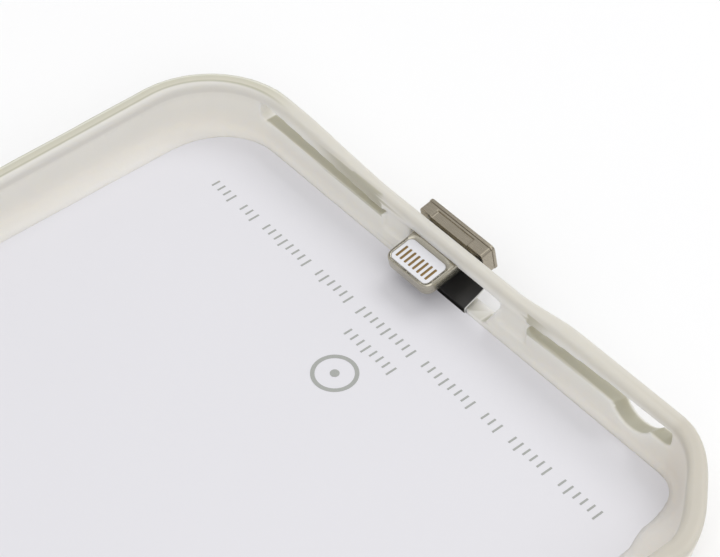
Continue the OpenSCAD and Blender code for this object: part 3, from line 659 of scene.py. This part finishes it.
# Block: a rounded section in depth and height is carried along x, its corners pulled in at both ends,
# and the section's top drops over the recess
def buildGripBlock():
    g = grip
    half = g["w"] / 2
    t = np.linspace(-1, 1, g["steps"])
    x = half * np.sign(t) * (1 - (1 - np.abs(t)) ** 1.6)  # closer together towards both ends
    r, edge = g["cornerR"], g["edge"]
    endPull = r - np.sqrt(np.maximum(0, r * r - np.maximum(0, np.abs(x) - half + r) ** 2))
    middle = plug["tongueT"] / 2
    top, low = g["h"] / 2 - middle - endPull, -g["h"] / 2 - middle + endPull
    front, back = plug["base"], plug["base"] - g["d"]
    along = smoothStep((g["recessW"] / 2 - np.abs(x - g["recessX"])) / 0.16 + 0.5)
    depths = np.linspace(back + edge, front - edge, g["depthSteps"])
    drop = g["recessD"] * along[:, None] * smoothStep((depths - front + g["recessL"]) / 0.12 + 0.5)[None, :]
    topRow = np.stack([np.broadcast_to(depths, drop.shape), top[:, None] - drop], -1)
    lowRow = np.stack([np.broadcast_to(depths[::-1], drop.shape), np.broadcast_to(low[:, None], drop.shape)], -1)
    ends = np.full((len(x), 2), 1.0)
    frontRow = np.stack([front * ends, np.stack([top - drop[:, -1] - edge, low + edge], 1)], -1)
    backRow = np.stack([back * ends, np.stack([low + edge, top - edge], 1)], -1)
    section = np.concatenate([topRow, frontRow, lowRow, backRow], 1)
    across = np.broadcast_to(x[:, None, None] + g["x"], (*section.shape[:2], 1))
    points, faces = np.concatenate([across, section], 2), tubeFaces(len(x), section.shape[1])
    made = fillMesh("gripBlock", onPlug(points), faces)
    addModifier(made, "BEVEL", width=edge * mm, segments=2, limit_method="ANGLE", angle_limit=0.7)
    return bakeModifiers(made)


# Turns a slab so that its thickness runs back along the plug's axis from y
def acrossPlug(points, y):
    return np.column_stack([points[:, 0] + grip["x"], y - points[:, 2], points[:, 1] - plug["tongueT"] / 2])


metals = {"nickel": {"colour": (0.52, 0.49, 0.41, 1), "rough": 0.24, "brush": (600.0, 600.0, 9000.0)},
          "brushedNickel": {"colour": (0.42, 0.375, 0.30, 1), "rough": 0.26, "brush": (500.0, 9000.0, 9000.0)},
          "gold": {"colour": (0.31, 0.205, 0.088, 1), "rough": 0.3, "brush": (2000.0, 2000.0, 2000.0)},
          "copper": {"colour": (0.62, 0.3, 0.14, 1), "rough": 0.35, "brush": (3000.0, 3000.0, 3000.0)}}


# Metal with brushed lines, drawn out where the brush's scale is low, and slow clouds in its tint
def metalFinish(name):
    colour, rough = metals[name]["colour"], metals[name]["rough"]
    f = Finish(name, Metallic=1.0, Roughness=rough)
    stretched = f.node("ShaderNodeMapping", {"Vector": f.place(), "Scale": metals[name]["brush"]})
    lines = f.noise(1.0, 4, stretched)
    cloud = f.noise(700.0)
    warm = tuple(v * 0.86 for v in colour[:3]) + (1,)
    f.feed(Base_Color=f.between(cloud, colour, warm), Roughness=rough - 0.06 + lines * 0.14,
           Normal=f.bump(lines, 0.000006))
    return f


print("plug")
nickel, brushed = metalFinish("nickel"), metalFinish("brushedNickel")


def ridePlug(made, node, finish):
    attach(made, "plug")
    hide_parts(node)
    return dress(made, finish)


ridePlug(buildTongue(), "plug_shell", nickel)
ridePlug(buildGripBlock(), "grip_block", brushed)
platePoints, plateFaces = softSlab(grip["w"] + 2 * grip["over"], grip["h"] + 2 * grip["over"], grip["plateR"], 0,
                                   grip["plateD"], grip["plateEdge"])
gripPlate = fillMesh("gripPlate", onPlug(acrossPlug(platePoints, plug["base"] - grip["d"])), plateFaces)
ridePlug(gripPlate, "grip_plate", brushed)

insulator = softSlab(plug["insulatorW"], plug["insulatorL"], plug["insulatorR"], -plug["tongueT"] + 0.02, -0.02, 0.05)
insulatorPoints = insulator[0] + [0, plug["insulatorY"], 0]


# Plain plastic with slow clouds in its tint and gloss
def plasticFinish(name, colour, rough, scale):
    f = Finish(name, Roughness=rough)
    cloud = f.noise(scale)
    shade = tuple(v * 0.93 for v in colour[:3]) + (1,)
    f.feed(Base_Color=f.between(cloud, colour, shade), Roughness=rough - 0.05 + cloud * 0.1)
    return f


ridePlug(fillMesh("plugInsulator", onPlug(insulatorPoints), insulator[1]), "plug_insulator",
         plasticFinish("insulator", (0.8, 0.8, 0.83, 1), 0.35, 1500.0))

contacts = {"count": 8, "pitch": 0.645, "w": 0.31, "l": 1.65, "t": 0.12}


# Row of rounded pads, each a small slab set beside the last
def contactRow(low):
    c = contacts
    pad = softSlab(c["w"], c["l"], 0.1, low, low + c["t"], 0.04)
    offsets = (np.arange(c["count"]) - (c["count"] - 1) / 2) * c["pitch"]
    return joined([(pad[0] + [x, 0, 0], pad[1]) for x in offsets])


goldFinish = metalFinish("gold")
for name, node, low in (("topContacts", "top_contacts", -contacts["t"] + 0.01),
                        ("bottomContacts", "bottom_contacts", -plug["tongueT"] - 0.01)):
    points, faces = contactRow(low)
    ridePlug(fillMesh(name, onPlug(points), faces), node, goldFinish)


flex = {"x": 1.95, "w": 8.0, "t": 0.22,
        "path": [(2.41, -0.8), (2.41, 0.05), (2.15, 0.3), (0.25, 1.15), (-0.45, 1.75), (-0.6, 2.6)]}


# Ribbon: a flat rounded section carried along a smooth path, each ring set along the path's own normal,
# from the pocket in the sill to the grip
def buildFlex():
    path = curveThrough(np.array([flex["path"]]), 12)[0]
    tangent = np.gradient(path, axis=0)
    tangent /= np.linalg.norm(tangent, axis=1, keepdims=True)
    normal = np.column_stack([-tangent[:, 1], tangent[:, 0]])
    loop = roundedLoop(flex["w"], flex["t"], flex["t"] / 2 - 0.005, 6)
    yz = path[:, None, :] + normal[:, None, :] * loop[None, :, 1:2]
    x = np.broadcast_to(loop[:, 0] + flex["x"], yz.shape[:2])
    points = np.stack([x, yz[..., 0] - case["halfL"], yz[..., 1] + case["floorZ"]], -1)
    return fillMesh("flexLead", points, tubeFaces(len(path), len(loop)))


print("flex lead")
flexLead = buildFlex()
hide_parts("flex_lead")
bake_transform(flexLead)


# Black cover film with a painted highlight along its side towards the sill, where the pale core shows
def flexFinish():
    f = Finish("flex", Roughness=0.38, Specular_IOR_Level=0.4)
    cloud = f.noise(900.0)
    edge = f.node("ShaderNodeSeparateXYZ", {"Vector": f.place()}, out="X")
    # Painted highlight along the ribbon's edge towards the sill, together with the pale core
    edgeHighlight = f.node("ShaderNodeMapRange", {"Value": edge, "From Min": -0.00195, "From Max": -0.00203})
    colour = f.between(cloud, (0.014, 0.0135, 0.013, 1), (0.024, 0.023, 0.022, 1))
    f.feed(Base_Color=f.between(edgeHighlight, colour, (0.7, 0.7, 0.68, 1)), Roughness=0.34 + cloud * 0.12)
    return f


dress(flexLead, flexFinish())


# Parts sealed between the plates keep the solids' shapes
print("inner parts")
innerParts = {"coil_glue": ("glue", (0.6, 0.58, 0.5, 1), 0.6), "panel_tape": ("tape", (0.62, 0.6, 0.54, 1), 0.6),
              "ferrite_sheet": ("ferrite", (0.05, 0.05, 0.055, 1), 0.5),
              "receiver_board": ("board", (0.02, 0.12, 0.06, 1), 0.4),
              "rectifier_chip": ("chip", (0.02, 0.02, 0.022, 1), 0.5),
              "regulator_chip": ("chip2", (0.02, 0.02, 0.022, 1), 0.5),
              "power_inductor": ("inductor", (0.08, 0.08, 0.09, 1), 0.55),
              "capacitors": ("capacitor", (0.4, 0.28, 0.16, 1), 0.45),
              "flex_tail": ("flexTail", (0.02, 0.018, 0.018, 1), 0.4),
              "plug_board": ("plugBoard", (0.02, 0.12, 0.06, 1), 0.4)}
for node, (name, colour, rough) in innerParts.items():
    dress(nodeObjects[node], plasticFinish(name, colour, rough, 400.0))
copper = metalFinish("copper")
for node in ("receiver_coil", "coil_leads"):
    dress(nodeObjects[node], copper)


floor = {"size": 4.0, "colour": (0.93, 0.93, 0.935, 1), "cloud": (0.94, 0.94, 0.942, 1)}
lights = [
    {"name": "key", "at": (0.1, -0.75, 0.95), "size": 0.7, "power": 3.4},
    {"name": "fill", "at": (-0.7, 0.35, 0.8), "size": 1.1, "power": 3.2},
    {"name": "top", "at": (0.15, 0.1, 1.2), "size": 1.0, "power": 2.0}]
lampTarget, worldStrength = (0, -0.06, 0), 0.62
camera = {"at": (-106.10, 23.13, 158.85), "right": (-0.64509, -0.76411, 0.0), "up": (0.55058, -0.46482, 0.69340),
          "forward": (0.52983, -0.44731, -0.72055), "lens": 102.5, "sensor": 36}

print("floor, lights and camera")
half = floor["size"] / 2 / mm
floorPoints = np.array([[-half, -half, 0], [half, -half, 0], [half, half, 0], [-half, half, 0]], float)
floorObject = fillMesh("floor", floorPoints, [[0, 1, 2, 3]])


def floorFinish():
    f = Finish("floor", Roughness=0.85, Specular_IOR_Level=0.2)
    cloud = f.noise(3.0)
    f.feed(Base_Color=f.between(cloud, floor["colour"], floor["cloud"]))
    return f


dress(floorObject, floorFinish())


# Placing at an origin whose third axis points away from the target
def aimedAt(origin, target):
    axis = np.array(origin, float) - target
    axis /= np.linalg.norm(axis)
    side = np.cross((0, 0, 1), axis)
    side /= np.linalg.norm(side)
    turn = np.column_stack([side, np.cross(axis, side), axis])
    placed = np.eye(4)
    placed[:3, :3], placed[:3, 3] = turn, origin
    return Matrix(placed.tolist())


for light in lights:
    lamp = bpy.data.lights.new(light["name"], "AREA")
    lamp.shape, lamp.size, lamp.energy = "DISK", light["size"], light["power"]
    lampObject = bpy.data.objects.new(light["name"], lamp)
    bpy.context.scene.collection.objects.link(lampObject)
    lampObject.matrix_world = aimedAt(light["at"], lampTarget)

world = bpy.data.worlds.new("studio")
world.use_nodes = True
world.node_tree.nodes["Background"].inputs["Color"].default_value = (1, 1, 1, 1)
world.node_tree.nodes["Background"].inputs["Strength"].default_value = worldStrength
bpy.context.scene.world = world

cameraData = bpy.data.cameras.new("camera")
cameraData.lens, cameraData.sensor_width = camera["lens"], camera["sensor"]
cameraData.clip_start, cameraData.clip_end = 0.01, 20
cameraObject = bpy.data.objects.new("camera", cameraData)
bpy.context.scene.collection.objects.link(cameraObject)
placed = np.eye(4)
placed[:3, :3] = np.column_stack([camera["right"], camera["up"], -np.array(camera["forward"])])
placed[:3, 3] = np.array(camera["at"]) * mm
cameraObject.matrix_world = Matrix(placed.tolist())
bpy.context.scene.camera = cameraObject
bpy.context.scene.view_settings.view_transform = "Standard"
